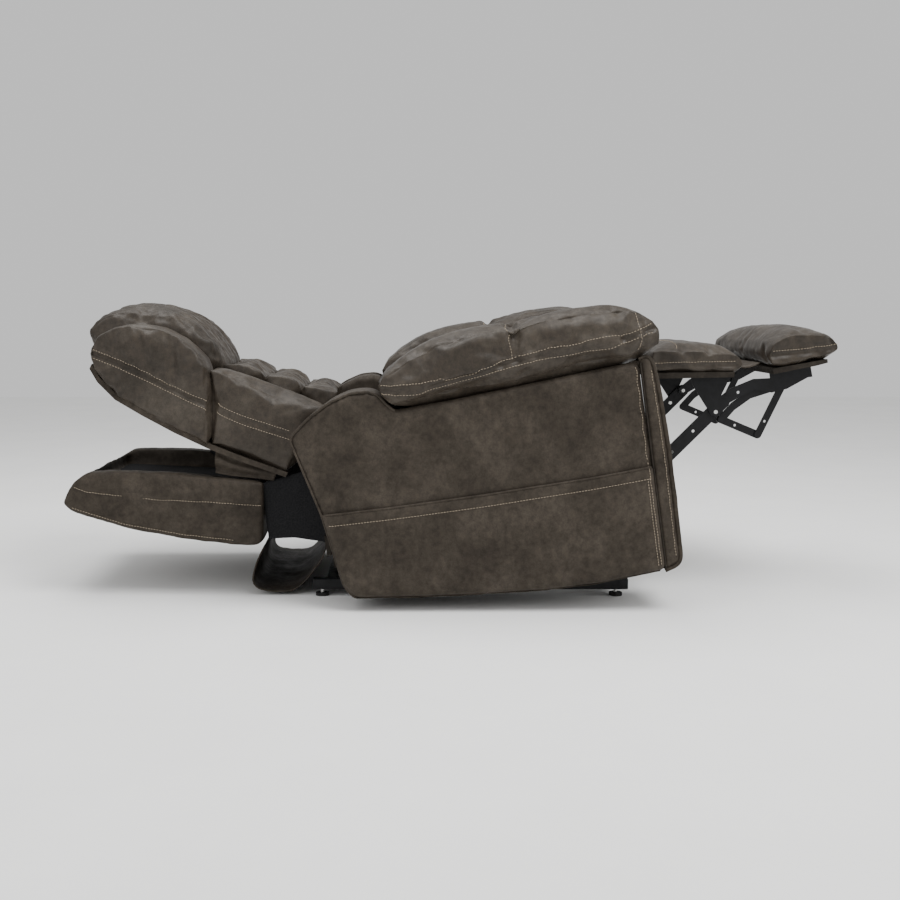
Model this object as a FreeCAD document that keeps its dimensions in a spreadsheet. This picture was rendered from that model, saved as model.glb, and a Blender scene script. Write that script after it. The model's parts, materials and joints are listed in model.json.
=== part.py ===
import FreeCAD, Part
import math
import os
from FreeCAD import Vector, Placement, Rotation

# Power lift recliner, laid back with the footrest out. Millimetres. Front -Y, up +Z, floor Z = 0.
doc = FreeCAD.newDocument("lift_recliner")
sheet = doc.addObject("Spreadsheet::Sheet", "Sizes")
SIZES = [
    ("centre_shift", 0.685), ("tip_angle", 8.2),
    ("link_plate", 4.0), ("lift_plate", 6.0), ("bracket_plate", 5.0), ("pin_radius", 6.0),
    ("rail_width", 26.0), ("rail_height", 26.0), ("rail_wall", 2.0), ("rail_length", 815.0),
    ("rail_inner_side", 264.0), ("rail_floor_gap", 18.0), ("foot_radius", 17.0), ("foot_tall", 8.0),
    ("chassis_rail_width", 15.0), ("chassis_rail_tall", 40.0), ("chassis_rail_length", 670.0),
    ("cross_tube", 26.0), ("arm_inside", 296.0), ("arm_outside", 455.0), ("arm_skin", 6.0),
    ("inner_skin", 4.0), ("post_width", 157.0), ("wrap_width", 149.0), ("pillow_width", 180.0),
    ("pocket_depth", 8.0),
    ("pocket_gap", 5.0), ("seat_width", 560.0), ("board_width", 540.0), ("pad_width", 550.0),
    ("shell_width", 588.0), ("recess_width", 460.0), ("panel_width", 458.0), ("block_width", 570.0),
    ("wing_width", 106.0), ("upper_wing_width", 128.0), ("middle_width", 356.0),
    ("flap_width", 560.0), ("web_width", 500.0), ("gusset_width", 12.0),
    ("motor_radius", 18.0), ("motor_rod_radius", 9.0), ("torque_radius", 12.0),
]
for row, (alias, value) in enumerate(SIZES, start=1):
    sheet.set("A%d" % row, alias)
    sheet.set("B%d" % row, str(value))
    sheet.setAlias("B%d" % row, alias)
doc.recompute()
S = dict(SIZES)
exports = []


def plane(body, role):
    return [f for f in body.Origin.OriginFeatures if f.Role == role][0]


def pad(name, outline, side, width, holes=()):
    """A plate or block: outline in the side plane (Y, Z), padded along +X from `side` by a sheet size."""
    body = doc.addObject("PartDesign::Body", name)
    sketch = body.newObject("Sketcher::SketchObject", name + "_outline")
    sketch.AttachmentSupport = [(plane(body, "YZ_Plane"), "")]
    sketch.MapMode = "FlatFace"
    if outline[0] == "slot":
        add_slot(sketch, *outline[1:])
    else:
        points = [Vector(y, z, 0) for y, z in outline]
        for i, point in enumerate(points):
            sketch.addGeometry(Part.LineSegment(point, points[(i + 1) % len(points)]))
    for y, z, radius in holes:
        sketch.addGeometry(Part.Circle(Vector(y, z, 0), Vector(0, 0, 1), radius))
    solid = body.newObject("PartDesign::Pad", name + "_pad")
    solid.Profile = sketch
    solid.setExpression("Length", "Sizes." + width)
    body.Tip = solid
    body.Placement = Placement(Vector(side, 0, 0), Rotation())
    return body


def add_slot(sketch, first, second, radius):
    angle = math.atan2(second[1] - first[1], second[0] - first[0])
    side = Vector(-math.sin(angle) * radius, math.cos(angle) * radius, 0)
    a, b = Vector(first[0], first[1], 0), Vector(second[0], second[1], 0)
    sketch.addGeometry(Part.LineSegment(a + side, b + side))
    sketch.addGeometry(Part.LineSegment(a - side, b - side))
    up = Vector(0, 0, 1)
    sketch.addGeometry(Part.ArcOfCircle(Part.Circle(a, up, radius), angle + math.pi / 2,
        angle + 1.5 * math.pi))
    sketch.addGeometry(Part.ArcOfCircle(Part.Circle(b, up, radius), angle - math.pi / 2,
        angle + math.pi / 2))


def both(name, outline, side, width, holes=()):
    """The same plate on the left and on the right, in one list."""
    return [pad(name + "_r", outline, side, width, holes),
            pad(name + "_l", outline, -side - S[width], width, holes)]


def box(name, x, y, z, sx, sy, sz):
    """A block from its low corner; a size given as text is a sheet size or an expression on one."""
    b = doc.addObject("Part::Box", name)
    for prop, value in (("Length", sx), ("Width", sy), ("Height", sz)):
        if isinstance(value, str):
            b.setExpression(prop, value)
        else:
            setattr(b, prop, value)
    b.Placement = Placement(Vector(x, y, z), Rotation())
    return b


def pin(name, y, z, x_from, x_to, radius="pin_radius"):
    """A round bar along X."""
    c = doc.addObject("Part::Cylinder", name)
    if isinstance(radius, str):
        c.setExpression("Radius", "Sizes." + radius)
    else:
        c.Radius = radius
    c.Height = x_to - x_from
    c.Placement = Placement(Vector(x_from, y, z), Rotation(Vector(0, 1, 0), 90))
    return c


def pins(name, spots):
    made = []
    for i, (y, z, near, far, radius) in enumerate(spots):
        made.append(pin("%s_r%d" % (name, i), y, z, near, far, radius))
        made.append(pin("%s_l%d" % (name, i), y, z, -far, -near, radius))
    return made


def rod(name, start, end, x, begin, stop, radius):
    """A round bar from `begin` to `stop` millimetres along the line start to end."""
    a, b = Vector(x, start[0], start[1]), Vector(x, end[0], end[1])
    way = (b - a).normalize()
    c = doc.addObject("Part::Cylinder", name)
    if isinstance(radius, str):
        c.setExpression("Radius", "Sizes." + radius)
    else:
        c.Radius = radius
    c.Height = stop - begin
    c.Placement = Placement(a + way * begin, Rotation(Vector(0, 0, 1), way))
    return c


def cut(name, base, tool):
    c = doc.addObject("Part::Cut", name)
    c.Base, c.Tool = base, tool
    return c


def fuse(name, shapes):
    c = doc.addObject("Part::MultiFuse", name)
    c.Shapes = shapes
    return c


def node(name, shapes, tipped):
    """Name the finished piece. Tipped pieces are drawn level and lean back with the chair."""
    if not isinstance(shapes, list):
        shapes = [shapes]
    piece = doc.addObject("Part::Compound", "node_" + name)
    piece.Links = shapes
    turn = Rotation(Vector(1, 0, 0), -S["tip_angle"] if tipped else 0)
    piece.Placement = Placement(Vector(0, S["centre_shift"], 0), turn)
    piece.Label = name
    exports.append((name, piece))
    return piece


# ---------------------------------------------------------------- base, on the floor
inside, gap = S["rail_inner_side"], S["rail_floor_gap"]
tubes = []
for label, x in (("right", -inside - S["rail_width"]), ("left", inside)):
    outer = box("rail_out_" + label, x, -463, gap, "Sizes.rail_width", "Sizes.rail_length",
        "Sizes.rail_height")
    wall = S["rail_wall"]
    inner = box("rail_in_" + label, x + wall, -464, gap + wall, "Sizes.rail_width - 2 * Sizes.rail_wall",
                "Sizes.rail_length + 2", "Sizes.rail_height - 2 * Sizes.rail_wall")
    tubes.append(cut("rail_" + label, outer, inner))
node("base_side_tubes", tubes, False)
tubes = []
for label, y in (("front", -430), ("rear", 290)):
    outer = box("base_x_" + label, -inside, y, gap, "2 * Sizes.rail_inner_side", "Sizes.rail_width",
                "Sizes.rail_height")
    inner = box("base_xi_" + label, -inside - 1, y + 2, gap + 2, "2 * Sizes.rail_inner_side + 2",
                "Sizes.rail_width - 4", "Sizes.rail_height - 4")
    tubes.append(cut("base_cross_cut_" + label, outer, inner))
node("base_cross_tubes", tubes, False)
LIFT_A, LIFT_B = (-380, 80), (-440, 87)          # lift arm and front link pivots on the base
CHASSIS_A, CHASSIS_B = (120, 110), (-290, 120)   # their pivots on the chassis, tipped back
node("lift_brackets", both("lift_bracket", [(-462, 44), (-350, 44), (-352, 92), (-372, 102), (-440, 112),
     (-462, 98)], 284, "bracket_plate")
     + [box("clevis_a", -30, 258, 44, 6, 46, 46), box("clevis_b", 24, 258, 44, 6, 46, 46)], False)
feet, stems = [], []
for i, (x, y) in enumerate(((-277, -433), (277, -433), (-277, 329), (277, 329))):
    foot = doc.addObject("Part::Cylinder", "foot%d" % i)
    foot.setExpression("Radius", "Sizes.foot_radius")
    foot.setExpression("Height", "Sizes.foot_tall")
    foot.Placement = Placement(Vector(x, y, 0), Rotation())
    stem = doc.addObject("Part::Cylinder", "stem%d" % i)
    stem.Radius = 5
    stem.setExpression("Height", "Sizes.rail_floor_gap - Sizes.foot_tall")
    stem.Placement = Placement(Vector(x, y, S["foot_tall"]), Rotation())
    feet.append(foot)
    stems.append(stem)
node("levelling_feet", feet, False)
node("foot_stems", stems, False)
node("lift_pins", pins("lift_pin", [LIFT_A + (274.5, 284, "pin_radius"), LIFT_B + (265.5, 284,
    "pin_radius")]),
     False)
LIFT_MOTOR, LIFT_PUSH = (270, 76), (-180, 92)

# ---------------------------------------------------------------- lift linkage
hole = S["pin_radius"] + 0.06
node("lift_arms", both("lift_arm", ("slot", LIFT_A, CHASSIS_A, 19), 275, "lift_plate",
     [LIFT_A + (hole,), CHASSIS_A + (hole,)])
     + [pin("lift_tube", -180, 92, -275, 275, "torque_radius")], False)
node("front_lift_links", both("front_lift_link", ("slot", LIFT_B, CHASSIS_B, 15), 266, "lift_plate",
     [LIFT_B + (hole,), CHASSIS_B + (hole + 1.5,)]), False)
node("lift_motor_housing", [fuse("lift_housing", [
    rod("lift_tube_body", LIFT_MOTOR, LIFT_PUSH, 0, 0, 300, "motor_radius"),
    pin("lift_trunnion", LIFT_MOTOR[0], LIFT_MOTOR[1], -23.8, 23.8, 6.0),
    box("lift_gearbox", -22, 190, 62, 44, 60, 42)])], False)
node("lift_motor_rod", [rod("lift_rod", LIFT_MOTOR, LIFT_PUSH, 0, 301, 420, "motor_rod_radius")], False)

# ---------------------------------------------------------------- chassis, drawn level and tipped back
rails = []
for label, x in (("a", -262), ("b", 247)):
    rails.append(box("chassis_rail_" + label, x, -470, 110, "Sizes.chassis_rail_width",
                     "Sizes.chassis_rail_length", "Sizes.chassis_rail_tall"))
node("chassis_rails", rails + both("link_lug", [(-330, 62), (-278, 62), (-278, 110), (-330, 110)], 257,
     "bracket_plate"), True)
node("chassis_cross_tubes", [box("chassis_x%d" % i, -S["arm_inside"], y, 150, "2 * Sizes.arm_inside",
     "Sizes.cross_tube", "Sizes.cross_tube") for i, y in enumerate((-400, 150))], True)
node("flap_board", [box("flap_board_block", -290, 285, 150, 580, 12, 52),
     box("flap_arm_a", -262, 200, 112, 15, 85, 38), box("flap_arm_b", 247, 200, 112, 15, 85, 38)], True)
node("power_supply", [box("supply_case", 150, 40, 150, 80, 110, 38)], True)
node("power_inlet", [box("inlet_block", 176, 28, 158, 28, 12, 22)], True)
FOOT_MOTOR = (135, 195)
node("motor_brackets", [box("recline_brk_a", 96, -374, 120, 5, 36, 30),
    box("recline_brk_b", 139, -374, 120, 5, 36, 30),
     box("foot_brk_a", -144, 115, 176, 5, 55, 36), box("foot_brk_b", -101, 115, 176, 5, 55, 36)], True)

SIDE = [(329, 481), (280, 520), (223, 551), (169, 566), (124, 565), (100, 552), (84, 527), (67, 511),
        (-70, 515), (-522, 544), (-529, 527), (-531, 291), (-533, 34), (-525, 28), (-372, 17), (-240, 19),
        (-44, 34), (87, 48), (224, 65), (242, 78), (254, 104), (281, 282), (330, 474)]
BACK_WRAP = [(68, 507), (86, 524), (101, 548), (124, 561), (169, 562), (222, 547), (278, 517), (326, 480),
    (327, 473),
             (279, 284), (252, 106), (240, 82), (230, 76), (226, 81), (236, 86), (246, 108), (273, 285),
             (321, 474),
             (275, 512), (220, 541), (168, 556), (126, 555), (105, 543), (91, 520), (70, 501)]
POST = [(-533.5, 554), (-556, 555), (-565, 476), (-572, 311), (-571, 52), (-566, 39), (-535, 30)]
PILLOW = [(99, 566), (102, 578), (77, 601), (37, 630), (-16, 655), (-67, 670), (-118, 677), (-205, 676),
          (-240, 668), (-304, 682), (-367, 688), (-441, 687), (-490, 682), (-537, 666), (-571, 642),
          (-587, 612),
          (-580, 570), (-560, 557), (-525, 556), (-521, 546), (-70, 517), (66, 513), (82, 530)]
POCKET = [(279, 284), (254, 108), (240, 82), (222, 70), (87, 53), (-44, 39), (-240, 24), (-372, 22),
    (-525, 33),
          (-530, 38), (-529, 289)]
HOLLOW = [(260, 300), (242, 120), (215, 90), (87, 70), (-44, 56), (-240, 42), (-372, 40), (-512, 48),
    (-514, 300)]
skins, posts, frames, pockets = [], [], [], []
for label, hand in (("right", -1), ("left", 1)):
    def at(near, far):
        return near if hand > 0 else -far
    out, inn = S["arm_outside"], S["arm_inside"]
    node("arm_side_panel_" + label, [pad("side_" + label, SIDE, at(out - 6, out), "arm_skin")], True)
    skins.append(pad("inner_" + label, SIDE, at(inn, inn + 4), "inner_skin"))
    posts.append(pad("post_" + label, POST, at(298, 455), "post_width"))
    posts.append(pad("wrap_" + label, BACK_WRAP, at(300, 449), "wrap_width"))
    frame_outer = box("frame_out_" + label, at(304, 440), -515, 60, 136, 560, 430)
    frame_inner = box("frame_in_" + label, at(303, 441), -475, 100, 138, 480, 350)
    frames.append(cut("frame_" + label, frame_outer, frame_inner))
    node("arm_pillow_" + label, [pad("pillow_" + label, PILLOW, at(290, 470), "pillow_width")], True)
    leaf = pad("pocket_leaf_" + label, POCKET, at(out, out + 8), "pocket_depth")
    hollow = pad("pocket_hollow_" + label, HOLLOW, at(out, out + 5), "pocket_gap")
    pockets.append(cut("pocket_" + label, leaf, hollow))
node("arm_inner_panels", skins, True)
node("arm_end_panels", posts, True)
node("arm_frames", frames, True)
node("arm_pockets", pockets, True)

# ---------------------------------------------------------------- seat
ROCK, ROCK_END = (-424.3, 244.6), (-549.0, 221.0)      # rear rocker pivot and its end
ZINC, ZINC_END = (-495.1, 353.5), (-628.5, 281.2)      # zinc rocker pivot and its end
PAD_PIN, LEG_PIN = (-776.0, 393.3), (-752.0,
    370.0)    # top bar pivot and leg bracket pivot on the main link
node("seat_side_plates", both("seat_plate", [(-470, 215), (-380, 180), (-330, 150), (60, 150), (60, 300),
    (-400, 396),
     (-440, 396), (-470, 300)], 241, "link_plate")
     + both("zinc_hanger", [(-508, 342), (-430, 376), (-430, 394), (-508, 368)], 190, "link_plate"), True)
node("seat_cross_tubes", [box("seat_front", -197, -430, 372, 394, 24, 24),
     box("seat_mid", -241, -340, 330, 482, 24, 24)]
     + both("seat_arm", [(-406, 394), (-406, 374), (-340, 332), (-340, 352)], 185.5, "link_plate")
     + [box("seat_rear", -241, 20, 262, 482, 24, 24)],
     True)
springs = [rod("spring%d" % i, (-418, 384), (32, 274), x, 13, 450, 2.5)
           for i, x in enumerate((-180, -108, -36, 36, 108, 180))]
node("seat_springs", springs, True)
node("seat_cushion", [pad("seat_block", [(-435, 540), (-400, 538), (-200, 505), (-10, 477), (3, 463), (5,
    316),
     (-435, 432)], -280, "seat_width"),
     pad("seat_roll", [(-540, 530), (-528, 545), (-435, 540), (-435, 432), (-530, 432), (-540, 440)], -280,
     "seat_width")], True)
node("chassis_pins", pins("chassis_pin", [(103.1, 126.0, 262, 282, "pin_radius")])
     + pins("lug_pin", [(-304.2, 77.4, 262, 266, 4.0)])
     + pins("rock_pin", [ROCK + (228.5, 241, "pin_radius")]) + pins("zinc_pin", [ZINC + (194, 202, 5.0)]),
         True)

# ---------------------------------------------------------------- footrest linkage, both sides
BAR = (ROCK[0] + 5.3, ROCK[1] - 23)                      # cross bar of the rockers, held off the pivot
TIP_PIN = (ROCK[0] - 10, ROCK[1] + 62)
plates = both("rear_rocker", ("slot", ROCK, ROCK_END, 15), 228, "link_plate",
    [ROCK + (hole,), ROCK_END + (5.06,)])
ears = both("rocker_ear", ("slot", (BAR[0] - 1, BAR[1] + 1), (BAR[0] + 1, BAR[1] - 1), 12), 228,
    "link_plate")
crank = [pin("rocker_bar_a", BAR[0], BAR[1], -228, -134, 10.0),
    pin("rocker_bar_b", BAR[0], BAR[1], -106, 228, 10.0),
         pin("crank_bridge", ROCK[0] - 26, ROCK[1] + 12, -136, -104, 4.0)]
for i, x in enumerate((-136, -108)):
    crank += [pad("rocker_lever_%d" % i, ("slot", BAR, TIP_PIN, 11), x, "link_plate"),
              pad("crank_web_%d" % i, ("slot", ROCK, (ROCK[0] - 26, ROCK[1] + 12), 8), x, "link_plate")]
node("rear_rockers", [fuse("rocker_right", [plates[0], ears[0]]), fuse("rocker_left", [plates[1], ears[1]]),
     fuse("crank", crank)], True)
node("zinc_rockers", both("zinc_rocker", ("slot", ZINC, ZINC_END, 11), 198, "link_plate",
     [ZINC + (5.06,), ZINC_END + (4.0,)]), True)
node("main_links", both("main_link", ("slot", ROCK_END, PAD_PIN, 17), 222, "link_plate",
     [ZINC_END + (5.0,), (-690, 328, 4.0)]), True)
node("main_link_rivets", pins("main_rivet", [ROCK_END + (226, 232.6, 5.0), LEG_PIN + (226, 233, 5.0),
     PAD_PIN + (215, 222, 5.0), (-735, 362, 220.6, 222, 5.0)]), True)
LEG_PAD = [(-604, 497), (-802, 472), (-824, 474), (-832, 484), (-826, 506), (-809, 519), (-737, 537),
    (-653, 551),
           (-600, 557), (-592, 540), (-594, 505)]
node("leg_brackets", both("leg_bracket", [(-764, 362), (-752, 357), (-740, 364), (-700, 450), (-700, 467),
     (-790, 455.8), (-790, 440), (-764, 400)], 228, "link_plate", [LEG_PIN + (5.06,)]), True)
node("leg_pad_board", [pad("leg_board", [(-604, 480.6), (-800, 456.0), (-802, 470), (-606, 495)], -270,
     "board_width")], True)
node("leg_pad", [pad("leg_pad_block", LEG_PAD, -275, "pad_width")], True)
TOP = [(-788, 385), (-776, 379), (-762, 388), (-764, 402), (-800, 424), (-862, 440), (-905, 436),
    (-905, 449), (-1012, 455),
       (-1014, 424), (-1002, 424), (-945, 402), (-905, 398), (-862, 412), (-820, 398)]
node("top_bars", both("top_bar", TOP, 216, "link_plate", [PAD_PIN + (5.06,), (-818.8, 411, 4.0)]), True)
node("outer_braces", both("curved_link", [(-758, 343), (-767, 337), (-778, 342), (-805, 366), (-850, 390),
    (-909, 400),
     (-920, 411), (-909, 422), (-850, 412), (-800, 386), (-764, 356)], 211, "link_plate")
     + both("cross_low", ("slot", (-767.4, 347.1), (-858.5, 292.5), 10), 206, "link_plate",
     [(-803.3, 325.6, 3.5)]) + both("cross_high", ("slot", (-858.5, 292.5), (-936.4, 412.7), 9), 211,
     "link_plate",
     [(-880, 325.6, 3.5)]), True)
node("top_bar_rivets", pins("top_rivet", [(-909, 411, 215, 216, 8.0), (-936.4, 412.7, 215, 216, 6.0)]),
    True)
FOOT_PAD = [(-892, 468), (-919, 467), (-1032, 471), (-1073, 485), (-1079, 495), (-1062, 528), (-1010, 545),
            (-940, 548), (-902, 530), (-889, 500)]
node("foot_pad_board", [pad("foot_board", [(-900, 449.6), (-1012, 455.6), (-1040, 459), (-1040, 468),
    (-900, 464)],
     -270, "board_width")], True)
node("foot_pad", [pad("foot_pad_block", FOOT_PAD, -275, "pad_width")], True)
node("pad_web", [pad("web", [(-834, 470), (-888, 478), (-888, 481), (-834, 473)], -250, "web_width")], True)
FOOT_PUSH = TIP_PIN
node("foot_motor_housing", [fuse("foot_housing", [
    rod("foot_tube_body", FOOT_MOTOR, FOOT_PUSH, -120, 0, 330, "motor_radius"),
    pin("foot_trunnion", FOOT_MOTOR[0], FOOT_MOTOR[1], -138.8, -101.2, 6.0),
    box("foot_gearbox", -137, 70, 188, 34, 52, 44)])], True)
node("foot_motor_rod", [rod("foot_rod", FOOT_MOTOR, FOOT_PUSH, -120, 331, 576, "motor_rod_radius")], True)

# ---------------------------------------------------------------- back, drawn where it lies
HINGE, LEVER, NECK = (275.4, 263.4), (285.4, 168.4), (432, 300)
HEAD_MOTOR, HEAD_PUSH = (560, 288), (748, 428)
node("back_brackets", both("back_bracket", [(258, 250), (275, 240), (478, 200), (478, 290), (446, 308.5),
    (420, 308.5),
     (410, 300), (275, 287), (258, 278)], 232, "link_plate", [NECK + (4.06,)])
     + both("head_motor_lug", [(545, 265), (575, 266.5), (570, 297), (550, 297)], 17, "link_plate",
     [HEAD_MOTOR + (5.06,)]), False)
node("back_torque_tube", [pin("back_tube", HINGE[0], HINGE[1], -232, 232, "torque_radius")]
     + [pad("back_lever_%d" % i, ("slot", (HINGE[0] + 2.5, HINGE[1] - 26), LEVER, 12), x, "link_plate")
        for i, x in enumerate((101, 135))], False)
SHELL = [(480, 141), (499, 132), (555, 134), (687, 149), (837, 176), (971, 218), (996, 241), (980, 275),
    (965, 298),
         (930, 322), (870, 325), (721, 320), (571, 307), (478, 296)]
RECESS = [(500, 256), (940, 276), (940, 340), (500, 340)]
shell = pad("shell_block", SHELL, -294, "shell_width")
recess = pad("shell_recess", RECESS, -230, "recess_width")
node("back_shell", [cut("shell_cut", shell, recess)], False)
node("back_panel", [pad("back_panel_leaf", [(501, 256.5), (939, 276.5), (939, 281), (501, 261)], -229,
    "panel_width")
                    ], False)
BLOCK = [(421, 310), (534, 350), (619, 384), (703, 424), (786, 469), (853, 509), (897, 554), (916, 588)]
TOP_SIDE = [(y - 6, z + 12) for y, z in BLOCK]
node("headrest_board", [pad("head_board", BLOCK + TOP_SIDE[::-1], -285, "block_width")], False)
LOW_WING = [(414, 324), (528, 364), (612, 398), (612, 597), (602, 598), (567, 594), (482, 562),
    (453, 545), (419, 533),
            (310, 499), (300, 480), (318, 440), (380, 380)]
HIGH_WING = [(614, 399), (696, 438), (779, 483), (846, 523), (890, 567), (909, 601), (922, 637),
    (891, 685), (851, 705),
             (793, 710), (737, 705), (680, 679), (624, 625), (614, 600)]
ROLL = [(600, 394), (696, 438), (779, 483), (846, 523), (890, 567), (909, 601), (950, 660), (950, 684),
    (909, 721),
        (847, 739), (773, 740), (711, 730), (662, 705), (614, 656), (598, 600)]
ROWS = [("low", [(414, 325), (385, 375), (320, 440), (286, 490), (293, 527), (386, 540), (398, 420),
    (440, 336)]),
        ("mid", [(441, 337), (399, 421), (388, 541), (400, 556), (436, 567), (479, 572), (500, 480),
        (520, 363)]),
        ("high", [(521, 364), (501, 481), (481, 573), (500, 585), (541, 595), (572, 598), (596, 598),
        (598, 393)])]
node("lower_wings", both("low_wing", LOW_WING, 179.5, "wing_width"), False)
node("upper_wings", both("high_wing", HIGH_WING, 179.5, "upper_wing_width"), False)
node("head_roll", [pad("roll_block", ROLL, -178, "middle_width")], False)
node("lumbar_rolls", [pad("row_" + label, outline, -178, "middle_width") for label, outline in ROWS], False)
node("neck_lugs", both("neck_lug", [(422, 309.6), (421, 296), (432, 290), (444, 295), (474, 318), (520,
    344.6)], 226,
     "link_plate") + pins("neck_pin", [NECK + (230, 236.8, 4.0)]), False)
node("head_motor_housing", [cut("head_housing", fuse("head_solid", [
    rod("head_tube_body", HEAD_MOTOR, HEAD_PUSH, 0, 0, 112, 16.0),
    pin("head_trunnion", HEAD_MOTOR[0], HEAD_MOTOR[1], -21, 21, 5.0)]),
    rod("head_bore", HEAD_MOTOR, HEAD_PUSH, 0, 40, 113, 7.6))], False)
node("head_motor_rod", [rod("head_rod", HEAD_MOTOR, HEAD_PUSH, 0, 60, 232, 7.0)], False)
node("recline_motor_housing", [fuse("recline_housing", [
    rod("recline_tube_body", (-330, 190), LEVER, 120, 0, 400, "motor_radius"),
    pin("recline_trunnion", -330, 190, 101.2, 138.8, 6.0)])], False)
node("recline_motor_rod", [rod("recline_rod", (-330, 190), LEVER, 120, 401, 612, "motor_rod_radius")],
    False)
node("side_gussets", both("side_gusset", [(440, 313.5), (530, 344), (600, 372), (600, 330), (570, 312),
    (480, 302)], 270,
     "gusset_width"), False)
node("rear_flap", [pad("flap_sheet", [(476, 131), (497, 95), (511, 53), (506, 18), (465, 10), (413, 10),
    (379, 29),
     (327, 94), (322, 118), (324.5, 118), (329.5, 95), (381, 31.5), (414, 13), (464, 13), (503, 20.5),
     (508, 53),
     (494.5, 93), (473.5, 129)], -280, "flap_width")], False)

# ---------------------------------------------------------------- checks and export
doc.recompute()
bad = []
for obj in doc.Objects:
    if "Invalid" in obj.State or "Error" in obj.State:
        bad.append(obj.Name)
    if hasattr(obj, "Shape") and obj.TypeId.startswith(("Part::", "PartDesign::Body")):
        if obj.Shape.isNull() or not obj.Shape.isValid():
            bad.append(obj.Name + " shape")
if bad:
    raise RuntimeError("bad pieces: " + ", ".join(bad))
os.makedirs("parts", exist_ok=True)
total = FreeCAD.BoundBox()
for name, piece in exports:
    piece.Shape.exportStep("parts/%s.step" % name)
    total.add(piece.Shape.BoundBox)
print(len(exports), "nodes, size", [round(v, 2) for v in (total.XMin, total.XMax, total.YMin, total.YMax,
                                                         total.ZMin, total.ZMax)])
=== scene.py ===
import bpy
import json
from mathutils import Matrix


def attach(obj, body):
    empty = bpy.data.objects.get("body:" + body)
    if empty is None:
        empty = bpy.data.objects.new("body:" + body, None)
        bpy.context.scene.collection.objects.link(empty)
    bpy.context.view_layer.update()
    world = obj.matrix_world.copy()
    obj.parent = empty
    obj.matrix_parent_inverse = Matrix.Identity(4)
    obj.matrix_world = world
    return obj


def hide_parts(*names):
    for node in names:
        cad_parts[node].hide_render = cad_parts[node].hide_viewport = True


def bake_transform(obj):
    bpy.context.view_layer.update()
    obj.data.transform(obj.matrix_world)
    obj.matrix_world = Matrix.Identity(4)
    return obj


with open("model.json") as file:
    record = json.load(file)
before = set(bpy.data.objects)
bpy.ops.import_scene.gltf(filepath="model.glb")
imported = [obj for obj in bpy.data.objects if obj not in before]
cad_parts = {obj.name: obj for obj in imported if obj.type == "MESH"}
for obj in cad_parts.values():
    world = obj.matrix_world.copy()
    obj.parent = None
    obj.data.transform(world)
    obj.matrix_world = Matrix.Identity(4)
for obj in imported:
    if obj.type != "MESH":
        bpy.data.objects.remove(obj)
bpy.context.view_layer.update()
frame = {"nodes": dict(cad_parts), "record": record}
import json
import math
import bpy
import bmesh
import numpy as np
from mathutils import Vector, Matrix, noise
from mathutils.bvhtree import BVHTree
from mathutils.geometry import delaunay_2d_cdt

TIP = math.radians(8.2)
SHIFT = 0.685


def tip(y, z):
    """A point drawn with the chair level (mm) -> where it lies tipped back (m)."""
    return ((y * math.cos(TIP) + z * math.sin(TIP) + SHIFT) / 1000,
            (-y * math.sin(TIP) + z * math.cos(TIP)) / 1000)


def lie(y, z):
    return (y + SHIFT) / 1000, z / 1000


# ------------------------------------------------------------------ materials
def nodes_of(name):
    m = bpy.data.materials.new(name)
    m.use_nodes = True
    t = m.node_tree
    return m, t, t.nodes["Principled BSDF"]


def noise_node(t, coords, scale, detail=4.0, rough=0.55, stretch=None):
    n = t.nodes.new("ShaderNodeTexNoise")
    n.inputs["Scale"].default_value = scale
    n.inputs["Detail"].default_value = detail
    n.inputs["Roughness"].default_value = rough
    if stretch:
        mp = t.nodes.new("ShaderNodeMapping")
        mp.inputs["Scale"].default_value = stretch
        t.links.new(coords, mp.inputs["Vector"])
        coords = mp.outputs["Vector"]
    t.links.new(coords, n.inputs["Vector"])
    return n


def ramp(t, source, stops):
    r = t.nodes.new("ShaderNodeValToRGB")
    el = r.color_ramp.elements
    while len(el) > 1:
        el.remove(el[-1])
    el[0].position, el[0].color = stops[0][0], (*stops[0][1], 1)
    for p, c in stops[1:]:
        e = el.new(p)
        e.color = (*c, 1)
    t.links.new(source, r.inputs["Fac"])
    return r


def mix(t, fac, a, b, mode="MIX"):
    m = t.nodes.new("ShaderNodeMix")
    m.data_type, m.blend_type = "RGBA", mode
    if isinstance(fac, float):
        m.inputs["Factor"].default_value = fac
    else:
        t.links.new(fac, m.inputs["Factor"])
    for s, v in ((6, a), (7, b)):
        if isinstance(v, tuple):
            m.inputs[s].default_value = (*v, 1)
        else:
            t.links.new(v, m.inputs[s])
    return m.outputs[2]


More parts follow.
